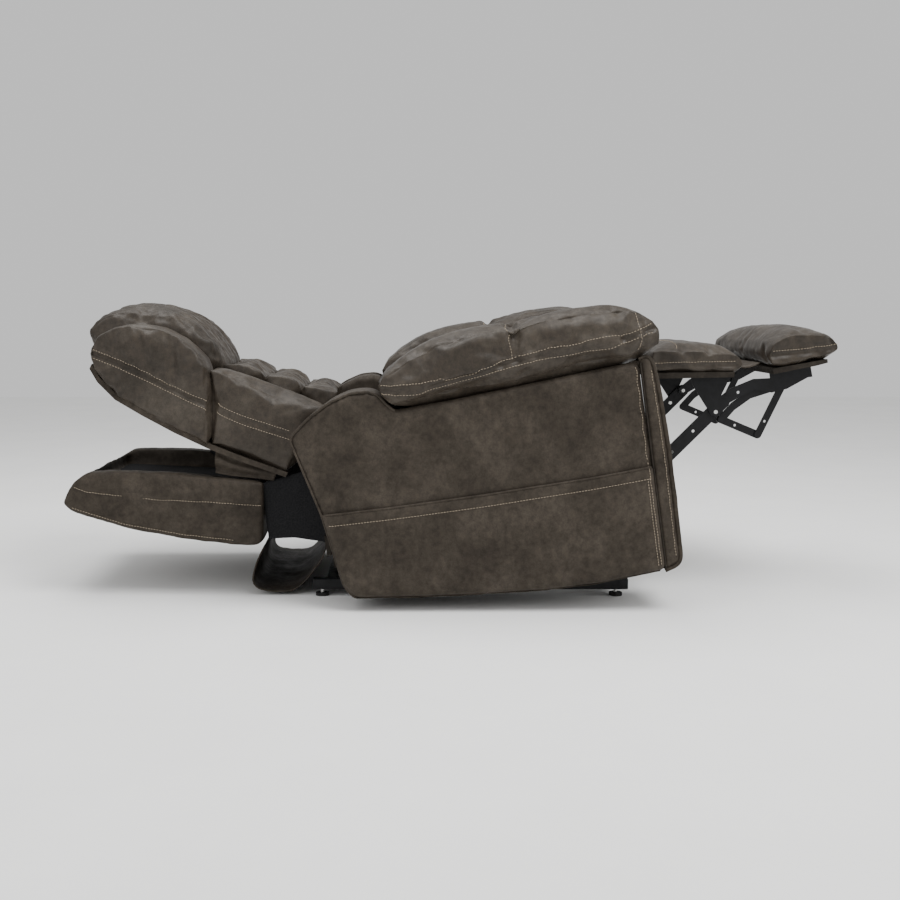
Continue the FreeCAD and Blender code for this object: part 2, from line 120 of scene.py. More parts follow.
def leather(name, dark, mid, light, rough=0.5, bump=0.35, sheen=0.0, spec=0.14):
    m, t, p = nodes_of(name)
    c = t.nodes.new("ShaderNodeTexCoord").outputs["Object"]
    cloud = noise_node(t, c, 9.0, 6.0, 0.65)
    fine = noise_node(t, c, 60.0, 5.0, 0.7)
    speck = noise_node(t, c, 420.0, 2.0, 0.5)
    base = ramp(t, cloud.outputs["Fac"], [(0.32, dark), (0.5, mid), (0.7, light)]).outputs["Color"]
    patch = ramp(t, fine.outputs["Fac"],
                 [(0.35, (0.62, 0.62, 0.62)), (0.55, (1, 1, 1)), (0.72, (1.28, 1.26, 1.22))])
    base = mix(t, 0.75, base, patch.outputs["Color"], "MULTIPLY")
    grain = ramp(t, speck.outputs["Fac"], [(0.35, (0.86, 0.86, 0.86)), (0.65, (1.1, 1.1, 1.1))])
    base = mix(t, 0.8, base, grain.outputs["Color"], "MULTIPLY")
    t.links.new(base, p.inputs["Base Color"])
    r = ramp(t, fine.outputs["Fac"], [(0.3, (rough + 0.1,) * 3), (0.7, (rough - 0.07,) * 3)])
    t.links.new(r.outputs["Color"], p.inputs["Roughness"])
    vor = t.nodes.new("ShaderNodeTexVoronoi")
    vor.feature = "DISTANCE_TO_EDGE"
    vor.inputs["Scale"].default_value = 520.0
    t.links.new(c, vor.inputs["Vector"])
    soft = noise_node(t, c, 24.0, 3.0, 0.5)
    b1 = t.nodes.new("ShaderNodeBump")
    b1.inputs["Strength"].default_value = bump
    b1.inputs["Distance"].default_value = 0.0006
    t.links.new(vor.outputs["Distance"], b1.inputs["Height"])
    b2 = t.nodes.new("ShaderNodeBump")
    b2.inputs["Strength"].default_value = 0.35
    b2.inputs["Distance"].default_value = 0.004
    t.links.new(soft.outputs["Fac"], b2.inputs["Height"])
    t.links.new(b1.outputs["Normal"], b2.inputs["Normal"])
    t.links.new(b2.outputs["Normal"], p.inputs["Normal"])
    p.inputs["Sheen Weight"].default_value = sheen
    p.inputs["Sheen Roughness"].default_value = 0.45
    p.inputs["Specular IOR Level"].default_value = spec
    return m


def plain(name, dark, light, rough, metal=0.0, scale=45.0, bump=0.15, stretch=None):
    m, t, p = nodes_of(name)
    c = t.nodes.new("ShaderNodeTexCoord").outputs["Object"]
    n = noise_node(t, c, scale, 5.0, 0.6, stretch)
    tint = ramp(t, n.outputs["Fac"], [(0.3, dark), (0.7, light)])
    t.links.new(tint.outputs["Color"], p.inputs["Base Color"])
    dull, shiny = min(rough + 0.12, 1), max(rough - 0.08, 0.03)
    r = ramp(t, n.outputs["Fac"], [(0.3, (dull,) * 3), (0.7, (shiny,) * 3)])
    t.links.new(r.outputs["Color"], p.inputs["Roughness"])
    b = t.nodes.new("ShaderNodeBump")
    b.inputs["Strength"].default_value = bump
    b.inputs["Distance"].default_value = 0.0008
    f = noise_node(t, c, scale * 9, 3.0, 0.6, stretch)
    t.links.new(f.outputs["Fac"], b.inputs["Height"])
    t.links.new(b.outputs["Normal"], p.inputs["Normal"])
    p.inputs["Metallic"].default_value = metal
    p.inputs["Specular IOR Level"].default_value = 0.5 if metal else 0.22
    return m


HIDE = leather("leather_panel", (0.026, 0.0205, 0.0155), (0.039, 0.0315, 0.0240),
               (0.056, 0.046, 0.036), 0.62, 0.3)
PAD = leather("leather_pad", (0.028, 0.0225, 0.0170), (0.040, 0.032, 0.0243),
              (0.060, 0.050, 0.039), 0.43, 0.3, spec=0.20)
DARKHIDE = leather("leather_dark", (0.014, 0.011, 0.0085), (0.021, 0.017, 0.013),
                   (0.030, 0.025, 0.0195), 0.66, 0.3)
THREAD = plain("thread_tan", (0.22, 0.18, 0.13), (0.36, 0.30, 0.23), 0.8, 0, 900)
STEEL = plain("black_steel", (0.004, 0.004, 0.0045), (0.008, 0.008, 0.009), 0.42, 0.0, 60)
ZINC = plain("zinc_plate", (0.42, 0.42, 0.40), (0.66, 0.66, 0.64), 0.34, 1.0, 30)
RIVET = plain("bright_rivet", (0.60, 0.60, 0.58), (0.80, 0.80, 0.78), 0.25, 1.0, 80)
PLY = plain("plywood", (0.30, 0.20, 0.11), (0.46, 0.33, 0.20), 0.7, 0, 6, 0.2, (1, 12, 1))
PLASTIC = plain("black_plastic", (0.012, 0.012, 0.013), (0.024, 0.024, 0.026), 0.55, 0, 90)
CHROME = plain("polished_rod", (0.62, 0.62, 0.64), (0.74, 0.74, 0.76), 0.16, 1.0, 40, 0.05)
RUBBER = plain("rubber", (0.012, 0.012, 0.012), (0.028, 0.027, 0.026), 0.8, 0, 120)
LINING = plain("black_cloth", (0.006, 0.006, 0.007), (0.016, 0.016, 0.017), 0.95, 0, 260, 0.4)
FINISH = {"black_steel": STEEL, "zinc": ZINC, "rivet": RIVET, "board": PLY, "plastic": PLASTIC,
          "rod_steel": CHROME, "rubber_foot": RUBBER, "lining": LINING,
          "upholstery": HIDE, "upholstery_pad": PAD}
for sub in frame["record"]["subparts"]:
    mesh = frame["nodes"][sub["node"]].data
    mesh.materials.clear()
    mesh.materials.append(FINISH[sub["material_slot"]])
for n in ("leg_pad_board", "foot_pad_board", "flap_board"):
    frame["nodes"][n].data.materials[0] = DARKHIDE


# ------------------------------------------------------------------ mesh helpers
CLOTH_FRAMES = 20        # frames each stuffed piece is inflated for
PRESSURE = 4.0
PIN_WIDTH = 0.009        # how far from a seam the leather is still held


def smooth(me):
    me.polygons.foreach_set("use_smooth", [True] * len(me.polygons))


def make(name, verts, faces, material, body):
    me = bpy.data.meshes.new(name)
    me.from_pydata([tuple(map(float, v)) for v in verts], [], [tuple(map(int, f)) for f in faces])
    me.validate()
    me.materials.append(material)
    o = bpy.data.objects.new(name, me)
    bpy.context.scene.collection.objects.link(o)
    smooth(me)
    if body:
        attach(o, body)
    return o


def apply_modifiers(o):
    dg = bpy.context.evaluated_depsgraph_get()
    me = bpy.data.meshes.new_from_object(o.evaluated_get(dg))
    o.modifiers.clear()
    o.data = me
    smooth(me)


def thicken(o, thick, offset):
    m = o.modifiers.new("thick", "SOLIDIFY")
    m.thickness, m.offset = thick, offset
    apply_modifiers(o)


def grid_faces(rows, columns):
    """Quads over a grid of points that are listed row by row."""
    return [(i * columns + k, (i + 1) * columns + k, (i + 1) * columns + k + 1, i * columns + k + 1)
            for i in range(rows - 1) for k in range(columns - 1)]


def coords(o):
    co = np.zeros(len(o.data.vertices) * 3, np.float32)
    o.data.vertices.foreach_get("co", co)
    return co.reshape(-1, 3).astype(float)


def normals(o):
    no = np.zeros(len(o.data.vertices) * 3, np.float32)
    o.data.vertices.foreach_get("normal", no)
    return no.reshape(-1, 3).astype(float)


def put(o, co):
    o.data.vertices.foreach_set("co", co.astype(np.float32).ravel())
    o.data.update()


def resample(path, step):
    p = np.array(path, float)
    seg = np.linalg.norm(np.diff(p, axis=0), axis=1)
    s = np.r_[0, np.cumsum(seg)]
    n = max(2, int(round(s[-1] / step)) + 1)
    u = np.linspace(0, s[-1], n)
    return np.c_[tuple(np.interp(u, s, p[:, k]) for k in range(p.shape[1]))]


def rounded(path, step, passes=12):
    p = resample(path, step)
    for _ in range(passes):
        p[1:-1] = (p[:-2] + 2 * p[1:-1] + p[2:]) / 4
    return p


def near(co, path):
    """Distance from each vertex to a polyline."""
    p = resample(path, 0.006)
    best = np.full(len(co), 1e9)
    for i in range(0, len(p), 64):
        d = np.linalg.norm(co[:, None, :] - p[None, i:i + 64, :], axis=2).min(1)
        best = np.minimum(best, d)
    return best


def press(o, paths, depth, width, lift=0.0):
    """Sinks a seam or crease into the surface along each path, with a low swell on both sides."""
    co, no = coords(o), normals(o)
    for path in paths:
        d = near(co, path)
        swell = lift * np.exp(-((d - 2.2 * width) / width) ** 2)
        co -= no * (depth * np.exp(-(d / width) ** 2) - swell)[:, None]
    put(o, co)


def hold_back(o, way, amount, below=None):
    """Flattens the side of a cushion that faces `way`, where a neighbour leaves it no room."""
    co, no, way = coords(o), normals(o), np.array(way, float)
    facing = np.clip(no @ way, 0, 1)
    if below is not None:
        facing *= np.clip((below - co[:, 2]) / 0.04, 0, 1)
    put(o, co - way * (amount * facing)[:, None])


def squeeze(o, reach):
    """Presses a cushion flat where it would pass |X| = reach."""
    co = coords(o)
    over = np.clip(np.abs(co[:, 0]) - (reach - 0.008), 0, None)
    co[:, 0] -= np.sign(co[:, 0]) * over * (1 - 1 / (1 + over / 0.008))
    put(o, co)


def waves(o, amount, scale, seed=0, stretch=(1, 1, 1)):
    co, no = coords(o), normals(o)
    off = Vector((seed * 3.1, seed * 1.7, seed * 5.3))
    spots = [Vector((c[0] * stretch[0], c[1] * stretch[1], c[2] * stretch[2])) * scale + off for c in co]
    h = np.array([noise.fractal(spot, 0.6, 2.0, 3) for spot in spots])
    put(o, co + no * (amount * h)[:, None])


def relax(o, factor, count):
    m = o.modifiers.new("relax", "SMOOTH")
    m.factor, m.iterations = factor, count
    apply_modifiers(o)


def island(me, which, axis=0):
    """Keeps only one of the loose solids in a mesh, counted along an axis."""
    bm = bmesh.new()
    bm.from_mesh(me)
    bmesh.ops.remove_doubles(bm, verts=bm.verts, dist=1e-5)
    left, groups = set(bm.verts), []
    while left:
        seed = [left.pop()]
        group = set(seed)
        while seed:
            for e in seed.pop().link_edges:
                for v in e.verts:
                    if v in left:
                        left.discard(v)
                        group.add(v)
                        seed.append(v)
        groups.append(group)
    groups.sort(key=lambda g: sum(v.co[axis] for v in g) / len(g))
    keep = groups[which] if which is not None else set(bm.verts)
    bmesh.ops.delete(bm, geom=[v for v in bm.verts if v not in keep], context="VERTS")
    bm.to_mesh(me)
    bm.free()


def soft(name, node, body, which=None, axis=0, voxel=0.006, rest=6, inset=0.008, cap=0.026, pins=(),
         material=PAD, fill=0.75, sim=True, padded=True, slot="upholstery_pad"):
    """A stuffed leather piece grown from the plain CAD block it stands for."""
    me = frame["nodes"][node].data.copy()
    o = bpy.data.objects.new(name, me)
    bpy.context.scene.collection.objects.link(o)
    island(me, which, axis)
    m = o.modifiers.new("remesh", "REMESH")
    m.mode, m.voxel_size = "VOXEL", voxel
    apply_modifiers(o)
    relax(o, 0.5, rest)
    if sim:
        put(o, coords(o) - normals(o) * inset)
        puff(o, pins, cap)
        relax(o, 0.5, 9)
    m = o.modifiers.new("sub", "SUBSURF")
    m.levels = m.render_levels = 1
    apply_modifiers(o)
    o.data.materials.clear()
    o.data.materials.append(material)
    o.data.polygons.foreach_set("material_index", [0] * len(o.data.polygons))
    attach(o, body)
    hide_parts(node)
    return o


def mirrored(o, name, body, node=None):
    """The same piece on the other side of the chair."""
    me = o.data.copy()
    c = bpy.data.objects.new(name, me)
    bpy.context.scene.collection.objects.link(c)
    me.transform(Matrix.Scale(-1, 4, Vector((1, 0, 0))))
    me.flip_normals()
    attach(c, body)
    if node:
        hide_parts(node)
    return c


def puff(o, pins, cap):
    start = coords(o)
    g = o.vertex_groups.new(name="hold")
    if pins:
        d = np.min([near(start, p) for p in pins], axis=0)
        for i in np.nonzero(d < PIN_WIDTH)[0]:
            g.add([int(i)], float(1 - 0.5 * d[i] / PIN_WIDTH), "REPLACE")
    m = o.modifiers.new("cloth", "CLOTH")
    s = m.settings
    s.quality, s.mass = 5, 0.4
    s.tension_stiffness = s.compression_stiffness = 25
    s.shear_stiffness, s.bending_stiffness = 10, 6.0
    s.use_pressure, s.uniform_pressure_force = True, PRESSURE
    s.shrink_min = -0.05
    s.effector_weights.gravity = 0
    if pins:
        s.vertex_group_mass = "hold"
    m.point_cache.frame_start, m.point_cache.frame_end = 1, CLOTH_FRAMES
    sc = bpy.context.scene
    for f in range(1, CLOTH_FRAMES + 1):
        sc.frame_set(f)
        len(o.evaluated_get(bpy.context.evaluated_depsgraph_get()).data.vertices)
    apply_modifiers(o)
    sc.frame_set(1)
    move = coords(o) - start
    far = np.linalg.norm(move, axis=1)
    put(o, start + move * np.minimum(1, cap / np.maximum(far, 1e-9))[:, None])


def strip(name, path, x0, x1, body, thick=0.003, material=HIDE, step=0.008, swell=0.0, wrinkle=0.0015,
          edge=0.0, replaces=(), passes=4, seed=1):
    """A leather sheet swept across the chair along a side-view path of (Y, Z) points."""
    p = rounded(path, step, passes)
    n = len(p)
    tan = np.gradient(p, axis=0)
    tan /= np.linalg.norm(tan, axis=1)[:, None]
    nor = np.c_[-tan[:, 1], tan[:, 0]]
    xs = np.linspace(x0, x1, max(6, int(abs(x1 - x0) / step)))
    verts = []
    for j, x in enumerate(xs):
        u = j / (len(xs) - 1)
        side = min(u, 1 - u) * abs(x1 - x0)
        drop = edge * (1 - math.sqrt(max(0, 1 - (1 - min(side / edge, 1)) ** 2))) if edge else 0
        bulge = swell * math.sin(math.pi * u) ** 0.6
        for i in range(n):
            w = wrinkle * noise.fractal(Vector((x * 9, p[i, 0] * 14, p[i, 1] * 14 + seed)), 0.7, 2, 3)
            h = bulge * math.sin(math.pi * i / (n - 1)) ** 0.6 - drop + w
            verts.append((x, p[i, 0] + nor[i, 0] * h, p[i, 1] + nor[i, 1] * h))
    o = make(name, verts, grid_faces(len(xs), n), material, None)
    thicken(o, thick, -1)
    if body:
        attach(o, body)
    for r in replaces:
        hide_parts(r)
    return o


def panel(name, outline, x, hand, body, edge=0.012, swell=0.003, skirt=0.012, replaces=(), grid=0.008,
          seed=1, crease=(), face=1, sag=None, closed=True):
    """A padded side face at |X| = x, rolled over at its edge. face -1 looks inward."""
    ring = rounded(list(outline) + [outline[0]], 0.006, 2)[:-1]
    lo, hi = ring.min(0), ring.max(0)
    ys, zs = np.arange(lo[0], hi[0], grid), np.arange(lo[1], hi[1], grid)
    inner = np.array([(y, z) for y in ys for z in zs])
    d, inside = edge_distance(inner, ring)
    inner = inner[inside & (d > grid * 0.45)]
    pts = [Vector((float(a), float(b))) for a, b in np.r_[ring, inner]]
    k = len(ring)
    out = delaunay_2d_cdt(pts, [(i, (i + 1) % k) for i in range(k)], [list(range(k))], 1, 1e-6)
    co2 = np.array([(v.x, v.y) for v in out[0]])
    faces = [list(f) for f in out[2]]
    d, _ = edge_distance(co2, ring)
    t = np.clip(1 - d / edge, 0, 1)
    drop = edge * (1 - np.sqrt(np.clip(1 - t ** 2, 0, 1)))
    h = swell * np.clip(d / 0.12, 0, 1) ** 0.5 - drop
    h += np.array([0.0012 * noise.fractal(Vector((a * 7, b * 7, seed * 2.3)), 0.7, 2, 3) for a, b in co2])
    for path, depth, width in crease:
        q = resample(path, 0.005)
        dd = np.min(np.linalg.norm(co2[:, None] - q[None], axis=2), axis=1)
        h -= depth * np.exp(-(dd / width) ** 2)
    if sag:
        h += np.array([sag(a, b) for a, b in co2])
    verts = [(hand * (x + face * hh), a, b) for hh, (a, b) in zip(h, co2)]
    base = len(verts)
    order = [int(np.argmin(np.linalg.norm(co2 - r, axis=1))) for r in ring]
    verts += [(hand * (x - face * (edge + skirt)), *co2[i]) for i in order]
    faces += [[order[i], order[(i + 1) % k], base + (i + 1) % k, base + i] for i in range(k)
              if order[i] != order[(i + 1) % k] and (closed is True or closed(*ring[i]))]
    o = make(name, verts, faces, HIDE, None)
    bm = bmesh.new()
    bm.from_mesh(o.data)
    bmesh.ops.recalc_face_normals(bm, faces=bm.faces)
    if sum(f.normal.x * f.calc_area() for f in bm.faces) * hand * face < 0:
        bmesh.ops.reverse_faces(bm, faces=bm.faces)
    bm.to_mesh(o.data)
    bm.free()
    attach(o, body)
    for r in replaces:
        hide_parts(r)
    return o


def edge_distance(p, ring):
    a, b = ring, np.roll(ring, -1, axis=0)
    ab = b - a
    best = np.full(len(p), 1e9)
    odd = np.zeros(len(p), bool)
    for s, e, v in zip(a, b, ab):
        t = np.clip(((p - s) @ v) / max(v @ v, 1e-12), 0, 1)
        best = np.minimum(best, np.linalg.norm(p - (s + t[:, None] * v), axis=1))
        with np.errstate(divide="ignore", invalid="ignore"):
            cross = ((s[1] > p[:, 1]) != (e[1] > p[:, 1])) & \
                (p[:, 0] < (e[0] - s[0]) * (p[:, 1] - s[1]) / (e[1] - s[1] + 1e-15) + s[0])
        odd ^= cross
    return best, odd


def surface(*objs):
    verts, faces = [], []
    for o in objs:
        k = len(verts)
        verts += [v.co.copy() for v in o.data.vertices]
        faces += [[k + i for i in f.vertices] for f in o.data.polygons]
    return BVHTree.FromPolygons(verts, faces)


def stitch(name, path, targets, body, pitch=0.0072, long=0.0048, wide=0.0018, proud=0.0005):
    """A row of thread stitches laid on the surface along a path."""
    tree = surface(*targets)
    p = resample(path, pitch)
    hits = [tree.find_nearest(Vector(q)) for q in p]
    verts, faces = [], []
    for i in range(len(p) - 1):
        a, n = hits[i][0], hits[i][1]
        b = hits[i + 1][0]
        if a is None or b is None or (b - a).length < 1e-5 or (a - Vector(p[i])).length > 0.06:
            continue
        way = (b - a).normalized()
        side = way.cross(n).normalized()
        mid = (a + b) / 2 + n * proud
        k = len(verts)
        for s in range(6):
            ang = s * math.pi / 3
            ring = side * (math.cos(ang) * wide / 2) + n * (math.sin(ang) * wide / 2)
            verts += [mid - way * long / 2 + ring * 0.55, mid + ring, mid + way * long / 2 + ring * 0.55]
        for s in range(6):
            u, v = k + s * 3, k + ((s + 1) % 6) * 3
            faces += [(u, v, v + 1, u + 1), (u + 1, v + 1, v + 2, u + 2)]
        faces += [tuple(k + s * 3 for s in range(5, -1, -1)), tuple(k + s * 3 + 2 for s in range(6))]
    return make(name, verts, faces, THREAD, body)


def cordline(name, path, radius, body, material=HIDE, targets=None, sink=0.3):
    """Piping: a thin round welt along a path, laid on a surface if one is given."""
    p = rounded(path, 0.008, 2)
    if targets:
        tree = surface(*targets)
        q = []
        for a in p:
            h = tree.find_nearest(Vector(a))
            q.append(np.array(h[0] + h[1] * radius * sink))
        p = np.array(q)
    cu = bpy.data.curves.new(name, "CURVE")
    cu.dimensions = "3D"
    cu.bevel_depth, cu.bevel_resolution = radius, 3
    sp = cu.splines.new("POLY")
    sp.points.add(len(p) - 1)
    for pt, c in zip(sp.points, p):
        pt.co = (*c, 1)
    o = bpy.data.objects.new(name, cu)
    bpy.context.scene.collection.objects.link(o)
    dg = bpy.context.evaluated_depsgraph_get()
    me = bpy.data.meshes.new_from_object(o.evaluated_get(dg))
    bpy.data.objects.remove(o)
    me.materials.clear()
    me.materials.append(material)
    o = bpy.data.objects.new(name, me)
    bpy.context.scene.collection.objects.link(o)
    smooth(me)
    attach(o, body)
    return o


def at(x, points, how=tip):
    return [(x, *how(y, z)) for y, z in points]


def flat(points):
    return [tip(y, z) for y, z in points]


def across(y, z, reach, how=lie):
    """A line across the chair, `reach` mm to each side."""
    return [(x / 1000, *how(y, z)) for x in range(-reach, reach + 1, 20)]


def raised(path, rise):
    return [(x, y, z + rise) for x, y, z in path]


def pocket_lip(y, z):
    """The pocket's mouth stands a little open."""
    return 0.004 * math.exp(-((z - 0.305 - 0.145 * -y) / 0.05) ** 2)


def below_pocket_mouth(y, z):
    return z < tip(0, 262)[1] - 0.142 * y


# ------------------------------------------------------------------ outlines (mm, as drawn)
SIDE = [(329, 481), (280, 520), (223, 551), (169, 566), (124, 565), (100, 552), (84, 527), (67, 511),
        (-70, 515), (-522, 544), (-529, 527), (-531, 291), (-533, 34), (-525, 28), (-372, 17), (-240, 19),
        (-44, 34), (87, 48), (224, 65), (242, 78), (254, 104), (281, 282), (330, 474)]
POCKET = [(279, 284), (254, 108), (240, 82), (222, 70), (87, 53), (-44, 39), (-240, 24), (-372, 22),
          (-525, 33), (-530, 38), (-529, 289), (-380, 283), (-120, 279), (120, 280)]
REAR = [(68, 509), (86, 526), (101, 551), (124, 564), (169, 566), (222, 551), (278, 520), (327, 482),
        (329, 472), (281, 282), (254, 106), (242, 80), (228, 68)]
POST = [(-531, 545), (-548, 556), (-560, 540), (-566, 476), (-573, 311), (-572, 52), (-566, 39), (-531, 30)]
PILLOW_SEAM = [(99, 566), (58, 557), (0, 556), (-98, 566), (-196, 581), (-318, 595), (-439, 599), (-511, 603),
               (-568, 619)]

# ------------------------------------------------------------------ arms
for hand, side in ((-1, "right"), (1, "left")):
    skin = panel("arm_side_" + side, flat(SIDE), 0.4545, hand, "chassis", edge=0.010, swell=0.003,
                 skirt=0.004, replaces=("arm_side_panel_" + side,), seed=hand,
                 crease=((flat([(-508, 530), (-509, 300), (-511, 50)]), 0.0012, 0.0035),))
    panel("arm_inner_" + side, flat(SIDE), 0.2965, hand, "chassis", edge=0.008, swell=0.003,
          skirt=0.002, face=-1, replaces=("arm_inner_panels",), seed=5 + hand)
    pocket = panel("arm_pocket_" + side, flat(POCKET), 0.4625, hand, "chassis", edge=0.004, swell=0.0035,
                   skirt=0.004, replaces=("arm_pockets",), seed=9 + hand, sag=pocket_lip,
                   closed=below_pocket_mouth)
    rim = at(hand * 0.466, [(270, 283), (120, 279), (-120, 278), (-380, 282), (-526, 288)])
    cordline("pocket_rim_" + side, rim, 0.0026, "chassis", HIDE, [pocket])
    hem = at(hand * 0.475, [(268, 254), (120, 250), (-120, 249), (-380, 253), (-524, 259)])
    stitch("pocket_stitch_" + side, hem, [pocket], "chassis")
    front_line = at(hand * 0.47, [(-521, 535), (-520, 300), (-522, 45)])
    stitch("front_stitch_" + side, front_line, [skin, pocket], "chassis")
    stitch("pocket_side_" + side, at(hand * 0.48, [(-514, 255), (-515, 42)]), [pocket], "chassis")
    # the rear of the arm, wrapped from the pillow down to the floor edge
    strip("arm_rear_" + side, flat(REAR), hand * 0.299, hand * 0.4495, "chassis", thick=0.0025, edge=0.006,
          wrinkle=0.0012, replaces=("arm_end_panels",), seed=hand)
    strip("arm_under_" + side, flat([(228, 68), (87, 50), (-44, 36), (-240, 21), (-372, 19), (-520, 30)]),
          hand * 0.299, hand * 0.4495, "chassis", thick=0.0025, seed=3)
    cordline("arm_rear_welt_" + side, at(hand * 0.4515, REAR[:9]), 0.0035, "chassis", HIDE)
    cordline("arm_back_welt_" + side, at(hand * 0.4515, REAR[8:]), 0.0030, "chassis", HIDE)
    # the padded front post
    post = panel("arm_post_" + side, flat(POST), 0.4535, hand, "chassis", edge=0.012, swell=0.001,
                 skirt=0.002, grid=0.005, seed=2)
    strip("arm_post_front_" + side, flat(POST), hand * 0.299, hand * 0.4500, "chassis", thick=0.0025,
          swell=0.006, edge=0.008, wrinkle=0.0015, step=0.006, passes=8, seed=4)
    # painted shade: a dark leather cord laid down the groove between post and side panel stands in for the
    # shade inside the groove
    cordline("post_groove_" + side, at(hand * 0.4555, [(-531, 540), (-532, 291), (-533, 34)]), 0.0022,
             "chassis", DARKHIDE)
    stitch("post_stitch_" + side, at(hand * 0.46, [(-558, 520), (-563, 300), (-562, 60)]), [post], "chassis")

seam = at(-0.470, PILLOW_SEAM)
inner_seam = at(-0.290, PILLOW_SEAM)
CROSS_SEAM = ((-470, 590), (-468, 640), (-440, 668), (-380, 672), (-320, 668), (-292, 640), (-290, 590))
cross = [(x / 1000, *tip(-240, z)) for x, z in CROSS_SEAM]
pillow = soft("arm_pillow_cover_right", "arm_pillow_right", "chassis", inset=0.012, cap=0.024,
              pins=(seam, inner_seam, cross), fill=0.8)
front = at(-0.475, [(-540, 560), (-545, 610), (-540, 664)])
front_fold = at(-0.38, [(-560, 656), (-590, 612), (-572, 560)])
PILLOW_FOLDS = [[(-250, 600), (-300, 625), (-360, 634)], [(-230, 600), (-170, 622), (-120, 627)],
                [(90, 575), (40, 592), (-20, 600)], [(-500, 612), (-450, 628), (-400, 632)]]
press(pillow, [seam, inner_seam], 0.007, 0.006, 0.0015)
press(pillow, [cross], 0.009, 0.011, 0.002)
press(pillow, [front, front_fold], 0.004, 0.005, 0.001)
press(pillow, [at(-0.475, fold) for fold in PILLOW_FOLDS], 0.0035, 0.012, 0.001)
waves(pillow, 0.0020, 10, 2, (1.6, 1, 1))
waves(pillow, 0.0004, 40, 4, (1, 1.6, 1))
up = [(x - 0.002, y, z + 0.011) for x, y, z in seam]
down = [(x - 0.002, y, z - 0.010) for x, y, z in seam]
stitches = [stitch("pillow_stitch_upper_right", up, [pillow], "chassis"),
            stitch("pillow_stitch_lower_right", down, [pillow], "chassis"),
            stitch("pillow_cross_stitch_right", [(x, y + 0.011, z) for x, y, z in cross], [pillow],
                   "chassis"),
            stitch("pillow_front_stitch_right", [(x, y + 0.008, z) for x, y, z in front], [pillow],
                   "chassis")]
mirrored(pillow, "arm_pillow_cover_left", "chassis", "arm_pillow_left")
for o in stitches:
    mirrored(o, o.name.replace("right", "left"), "chassis")

# ------------------------------------------------------------------ seat
seat = soft("seat_cover", "seat_cushion", "chassis", voxel=0.009, inset=0.006, cap=0.022, fill=0.7)
hold_back(seat, (0, 0, -1), 0.018)
hold_back(seat, (0, 1, 0), 0.017)
for y, z in ((-470, 548), (-300, 526), (-130, 500)):
    press(seat, [across(y, z, 280, tip)], 0.009, 0.010, 0.002)
waves(seat, 0.004, 9, 6)
for y, z in ((-480, 552), (-310, 530), (-140, 505)):
    stitch("seat_stitch_%d" % -y, across(y, z, 262, tip), [seat], "chassis")

# ------------------------------------------------------------------ footrest pads
leg_seam = [(-0.275, *lie(y, z)) for y, z in ((-522, 591), (-600, 594), (-728, 596))]
leg_seam2 = [(-x, y, z) for x, y, z in leg_seam]
leg = soft("leg_pad_cover", "leg_pad", "leg_rest", rest=3, inset=0.006, cap=0.022,
           pins=(leg_seam, leg_seam2), fill=0.85)
press(leg, [leg_seam, leg_seam2], 0.005, 0.005, 0.001)
press(leg, [across(y, z, 270) for y, z in ((-588, 633), (-660, 628))], 0.005, 0.008, 0.001)
waves(leg, 0.0022, 12, 7, (0.7, 1, 1))
stitch("leg_stitch_right", raised(leg_seam, 0.010), [leg], "leg_rest")
stitch("leg_stitch_left", raised(leg_seam2, 0.010), [leg], "leg_rest")
stitch("leg_stitch_top", across(-580, 640, 262), [leg], "leg_rest")
foot_seam = [(-0.275, *lie(y, z)) for y, z in ((-821, 621), (-900, 628), (-990, 640))]
foot_seam2 = [(-x, y, z) for x, y, z in foot_seam]
foot = soft("foot_pad_cover", "foot_pad", "foot_rest", rest=3, inset=0.006, cap=0.020,
            pins=(foot_seam, foot_seam2), fill=0.85)
press(foot, [foot_seam, foot_seam2], 0.005, 0.005, 0.001)
press(foot, [across(-900, 683, 270), at(-0.275, [(-985, 640), (-965, 668)], lie),
             at(-0.275, [(-960, 612), (-930, 636)], lie)], 0.004, 0.008, 0.001)
waves(foot, 0.0022, 13, 8, (0.7, 1, 1))
stitch("foot_stitch_right", raised(foot_seam, 0.010), [foot], "foot_rest")
stitch("foot_stitch_left", raised(foot_seam2, 0.010), [foot], "foot_rest")
web = strip("pad_web_sheet", [lie(-762, 586), lie(-785, 588), lie(-806, 599)], -0.222, 0.222, "foot_rest",
            thick=0.003, replaces=("pad_web",), wrinkle=0.001)

# ------------------------------------------------------------------ back
SHELL_TOP = [(965, 298), (928, 284), (759, 265), (609, 258), (478, 248)]
SHELL_LOW = [(971, 218), (837, 176), (687, 149), (555, 134)]
shell = soft("back_shell_cover", "back_shell", "back", voxel=0.008, rest=6, material=HIDE,
             sim=False, padded=False, slot="upholstery")
for x, name in ((-0.303, "right"), (0.303, "left")):
    top, low = [(x, *lie(*p)) for p in SHELL_TOP], [(x, *lie(*p)) for p in SHELL_LOW]
    press(shell, [top], 0.006, 0.006, 0.002)
    press(shell, [low], 0.002, 0.004, 0.001)
    stitch("shell_stitch_" + name, raised(top, -0.012), [shell], "back")
    stitch("shell_low_stitch_" + name, raised(low, 0.012), [shell], "back")
waves(shell, 0.0025, 7, 11)
waves(shell, 0.0005, 26, 12)

